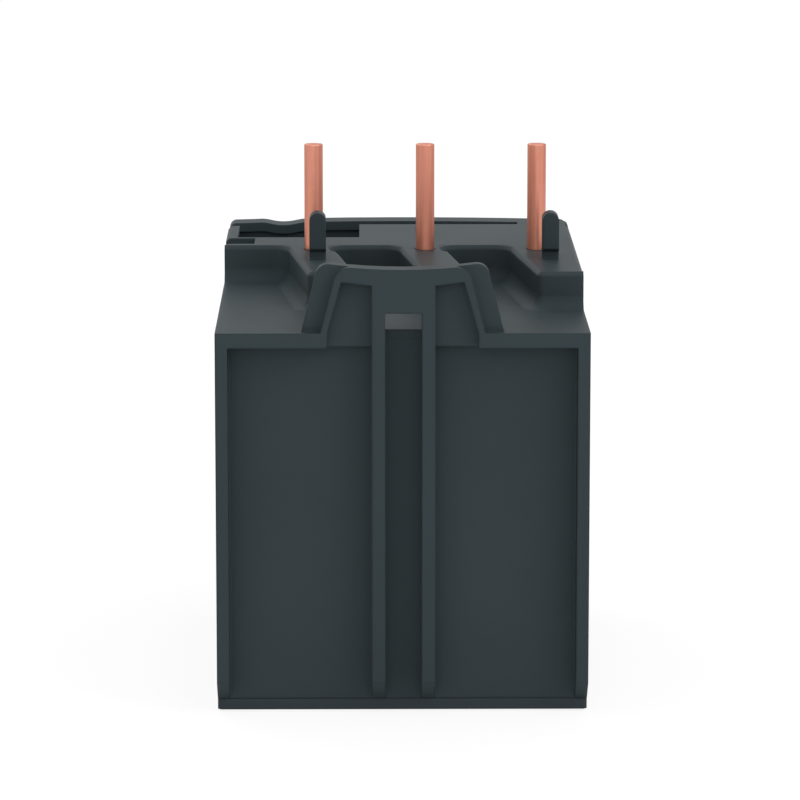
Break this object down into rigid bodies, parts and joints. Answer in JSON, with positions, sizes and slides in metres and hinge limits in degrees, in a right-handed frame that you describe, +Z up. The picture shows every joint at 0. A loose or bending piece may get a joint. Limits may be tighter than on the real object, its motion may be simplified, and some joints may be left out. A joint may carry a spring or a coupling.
{
  "type": "thermal overload relay",
  "caption": "Thermal overload relay with copper line pins, hook posts, a ribbed rear frame, screw terminals and a clear hinged cover over its setting dial and buttons.",
  "frame": {"origin": "centre of the underside", "axes": "+Z up along the line pins, +Y to the ribbed rear face, the dial and buttons face -Y"},
  "size_m": [0.045, 0.07, 0.065],
  "materials": {
    "housing_plastic": "fine satin moulding",
    "cover_plastic": "fine satin moulding",
    "block_plastic": "fine satin moulding",
    "panel_plastic": "fine satin moulding",
    "insulating_plastic": "matt moulding",
    "clear_plastic": "clear polished moulding",
    "dial_plastic": "satin",
    "selector_plastic": "satin",
    "red_plastic": "semi gloss",
    "blue_plastic": "semi gloss",
    "test_plastic": "satin",
    "spring_steel": "drawn wire",
    "slide_steel": "plated stamping",
    "lever_bimetal": "rolled strip",
    "slider_plastic": "matt moulding",
    "rocker_plastic": "matt moulding",
    "flag_plastic": "satin",
    "carriage_plastic": "matt moulding",
    "contact_brass": "stamped strip",
    "pin_copper": "drawn copper, brass stands in for copper",
    "strap_copper": "stamped copper, brass stands in for copper",
    "bar_copper": "stamped copper, brass stands in for copper",
    "bimetal_strip": "rolled strip",
    "heater_wound": "wound ribbon on a sleeve",
    "cage_steel": "zinc plated",
    "screw_steel": "zinc plated"
  },
  "bodies": {
    "housing": {"rear_housing": "housing_plastic", "bottom_cover": "cover_plastic", "terminal_block": "block_plastic", "control_panel": "panel_plastic", "slider_guide": "insulating_plastic", "line_pin_a": "pin_copper", "line_strap_a": "strap_copper", "load_bar_a": "bar_copper", "line_pin_b": "pin_copper", "line_strap_b": "strap_copper", "load_bar_b": "bar_copper", "line_pin_c": "pin_copper", "line_strap_c": "strap_copper", "load_bar_c": "bar_copper", "aux_contact_a": "contact_brass", "aux_contact_b": "contact_brass", "aux_contact_c": "contact_brass", "aux_contact_d": "contact_brass"},
    "bimetal_a": {"bimetal_a": "bimetal_strip", "heater_a": "heater_wound"},
    "power_screw_a": {"power_screw_a": "screw_steel"},
    "cage_a": {"cage_a": "cage_steel"},
    "bimetal_b": {"bimetal_b": "bimetal_strip", "heater_b": "heater_wound"},
    "power_screw_b": {"power_screw_b": "screw_steel"},
    "cage_b": {"cage_b": "cage_steel"},
    "bimetal_c": {"bimetal_c": "bimetal_strip", "heater_c": "heater_wound"},
    "power_screw_c": {"power_screw_c": "screw_steel"},
    "cage_c": {"cage_c": "cage_steel"},
    "aux_clamp_a": {"aux_clamp_a": "cage_steel"},
    "aux_screw_a": {"aux_screw_a": "screw_steel"},
    "aux_clamp_b": {"aux_clamp_b": "cage_steel"},
    "aux_screw_b": {"aux_screw_b": "screw_steel"},
    "aux_clamp_c": {"aux_clamp_c": "cage_steel"},
    "aux_screw_c": {"aux_screw_c": "screw_steel"},
    "aux_clamp_d": {"aux_clamp_d": "cage_steel"},
    "aux_screw_d": {"aux_screw_d": "screw_steel"},
    "clear_cover": {"clear_cover": "clear_plastic"},
    "setting_dial": {"setting_dial": "dial_plastic"},
    "mode_selector": {"mode_selector": "selector_plastic"},
    "adjusting_slide": {"adjusting_slide": "slide_steel"},
    "compensating_lever": {"compensating_lever": "lever_bimetal"},
    "differential_lever": {"differential_lever": "slider_plastic"},
    "overload_slider": {"overload_slider": "slider_plastic"},
    "phase_loss_slider": {"phase_loss_slider": "slider_plastic"},
    "stop_button": {"stop_button": "red_plastic", "stop_spring": "spring_steel"},
    "reset_button": {"reset_button": "blue_plastic", "reset_spring": "spring_steel"},
    "test_button": {"test_button": "test_plastic", "test_spring": "spring_steel"},
    "trip_rocker": {"trip_rocker": "rocker_plastic", "trip_flag": "flag_plastic"},
    "contact_carriage": {"contact_carriage": "carriage_plastic", "nc_bridge": "contact_brass", "no_bridge": "contact_brass"}
  },
  "joints": [
    {"name": "trip_travel", "type": "slide", "parent": "housing", "child": "overload_slider", "axis": [1, 0, 0], "range_m": [0, 0.0016], "stiffness_N_per_m": 200},
    {"name": "phase_loss_travel", "type": "slide", "parent": "housing", "child": "phase_loss_slider", "axis": [1, 0, 0], "range_m": [0, 0.00165]},
    {"name": "bimetal_bend_a", "type": "hinge", "parent": "housing", "child": "bimetal_a", "pos_m": [0.0124, 0.02, 0.03615], "axis": [0, -1, 0], "range_deg": [0, 3.78]},
    {"name": "bimetal_bend_b", "type": "hinge", "parent": "housing", "child": "bimetal_b", "pos_m": [-0.0018, 0.02, 0.03615], "axis": [0, -1, 0], "range_deg": [0, 3.78]},
    {"name": "bimetal_bend_c", "type": "hinge", "parent": "housing", "child": "bimetal_c", "pos_m": [-0.016, 0.02, 0.03615], "axis": [0, -1, 0], "range_deg": [0, 3.78]},
    {"name": "differential_pivot", "type": "hinge", "parent": "overload_slider", "child": "differential_lever", "pos_m": [0.01405, 0.025, 0.0153], "axis": [0, 0, 1], "range_deg": [0, 6], "stiffness_Nm_per_rad": 0.002},
    {"name": "compensator_pivot", "type": "hinge", "parent": "adjusting_slide", "child": "compensating_lever", "pos_m": [0.01735, 0.006, 0.025], "axis": [0, 0, 1], "range_deg": [-6.21, 0]},
    {"name": "rocker_pivot", "type": "hinge", "parent": "housing", "child": "trip_rocker", "pos_m": [0.01615, -0.0048, 0.025], "axis": [0, 0, 1], "range_deg": [0, 7.74]},
    {"name": "carriage_travel", "type": "slide", "parent": "housing", "child": "contact_carriage", "axis": [0, -1, 0], "range_m": [0, 0.00114]},
    {"name": "adjusting_travel", "type": "slide", "parent": "housing", "child": "adjusting_slide", "axis": [1, 0, 0], "range_m": [0, 0.0008]},
    {"name": "dial_turn", "type": "hinge", "parent": "housing", "child": "setting_dial", "pos_m": [-0.012, -0.0333, 0.0412], "axis": [0, 1, 0], "range_deg": [0, 272]},
    {"name": "selector_turn", "type": "hinge", "parent": "housing", "child": "mode_selector", "pos_m": [0.0046, -0.0333, 0.0448], "axis": [0, 1, 0], "range_deg": [0, 90]},
    {"name": "cover_hinge", "type": "hinge", "parent": "housing", "child": "clear_cover", "pos_m": [0, -0.0341, 0.0301], "axis": [1, 0, 0], "range_deg": [0, 130]},
    {"name": "stop_push", "type": "slide", "parent": "housing", "child": "stop_button", "axis": [0, 1, 0], "range_m": [0, 0.0013], "stiffness_N_per_m": 300, "deforming": ["stop_spring"]},
    {"name": "reset_push", "type": "slide", "parent": "housing", "child": "reset_button", "axis": [0, 1, 0], "range_m": [0, 0.0013], "stiffness_N_per_m": 300, "deforming": ["reset_spring"]},
    {"name": "test_push", "type": "slide", "parent": "housing", "child": "test_button", "axis": [0, 1, 0], "range_m": [0, 0.0013], "stiffness_N_per_m": 300, "deforming": ["test_spring"]},
    {"name": "cage_travel_a", "type": "slide", "parent": "housing", "child": "cage_a", "axis": [0, -1, 0], "range_m": [0, 0.0042]},
    {"name": "power_screw_turn_a", "type": "hinge", "parent": "housing", "child": "power_screw_a", "pos_m": [0.0142, -0.0208, 0.0085], "axis": [0, 1, 0], "range_deg": [0, 2165]},
    {"name": "cage_travel_b", "type": "slide", "parent": "housing", "child": "cage_b", "axis": [0, -1, 0], "range_m": [0, 0.0042]},
    {"name": "power_screw_turn_b", "type": "hinge", "parent": "housing", "child": "power_screw_b", "pos_m": [0, -0.0208, 0.0085], "axis": [0, 1, 0], "range_deg": [0, 2165]},
    {"name": "cage_travel_c", "type": "slide", "parent": "housing", "child": "cage_c", "axis": [0, -1, 0], "range_m": [0, 0.0042]},
    {"name": "power_screw_turn_c", "type": "hinge", "parent": "housing", "child": "power_screw_c", "pos_m": [-0.0142, -0.0208, 0.0085], "axis": [0, 1, 0], "range_deg": [0, 2165]},
    {"name": "aux_clamp_travel_a", "type": "slide", "parent": "housing", "child": "aux_clamp_a", "axis": [0, 1, 0], "range_m": [0, 0.0028]},
    {"name": "aux_screw_turn_a", "type": "hinge", "parent": "aux_clamp_a", "child": "aux_screw_a", "pos_m": [0.0162, -0.0308, 0.0225], "axis": [0, 1, 0], "range_deg": [0, 2021]},
    {"name": "aux_clamp_travel_b", "type": "slide", "parent": "housing", "child": "aux_clamp_b", "axis": [0, 1, 0], "range_m": [0, 0.0028]},
    {"name": "aux_screw_turn_b", "type": "hinge", "parent": "aux_clamp_b", "child": "aux_screw_b", "pos_m": [0.0054, -0.0308, 0.0225], "axis": [0, 1, 0], "range_deg": [0, 2021]},
    {"name": "aux_clamp_travel_c", "type": "slide", "parent": "housing", "child": "aux_clamp_c", "axis": [0, 1, 0], "range_m": [0, 0.0028]},
    {"name": "aux_screw_turn_c", "type": "hinge", "parent": "aux_clamp_c", "child": "aux_screw_c", "pos_m": [-0.0054, -0.0308, 0.0225], "axis": [0, 1, 0], "range_deg": [0, 2021]},
    {"name": "aux_clamp_travel_d", "type": "slide", "parent": "housing", "child": "aux_clamp_d", "axis": [0, 1, 0], "range_m": [0, 0.0028]},
    {"name": "aux_screw_turn_d", "type": "hinge", "parent": "aux_clamp_d", "child": "aux_screw_d", "pos_m": [-0.0162, -0.0308, 0.0225], "axis": [0, 1, 0], "range_deg": [0, 2021]}
  ],
  "couplings": [
    {"joint": "phase_loss_travel", "follows": "trip_travel", "ratio": 1},
    {"joint": "bimetal_bend_a", "follows": "trip_travel", "rad_per_m": 40.161},
    {"joint": "bimetal_bend_b", "follows": "trip_travel", "rad_per_m": 40.161},
    {"joint": "bimetal_bend_c", "follows": "trip_travel", "rad_per_m": 40.161},
    {"joint": "compensator_pivot", "follows": "trip_travel", "rad_per_m": -66.667},
    {"joint": "rocker_pivot", "follows": "trip_travel", "rad_per_m": 83.333},
    {"joint": "carriage_travel", "follows": "trip_travel", "ratio": 0.7},
    {"joint": "dial_turn", "follows": "adjusting_travel", "rad_per_m": 5890.5},
    {"joint": "power_screw_turn_a", "follows": "cage_travel_a", "rad_per_m": 8976},
    {"joint": "power_screw_turn_b", "follows": "cage_travel_b", "rad_per_m": 8976},
    {"joint": "power_screw_turn_c", "follows": "cage_travel_c", "rad_per_m": 8976},
    {"joint": "aux_screw_turn_a", "follows": "aux_clamp_travel_a", "rad_per_m": 12566},
    {"joint": "aux_screw_turn_b", "follows": "aux_clamp_travel_b", "rad_per_m": 12566},
    {"joint": "aux_screw_turn_c", "follows": "aux_clamp_travel_c", "rad_per_m": 12566},
    {"joint": "aux_screw_turn_d", "follows": "aux_clamp_travel_d", "rad_per_m": 12566}
  ]
}
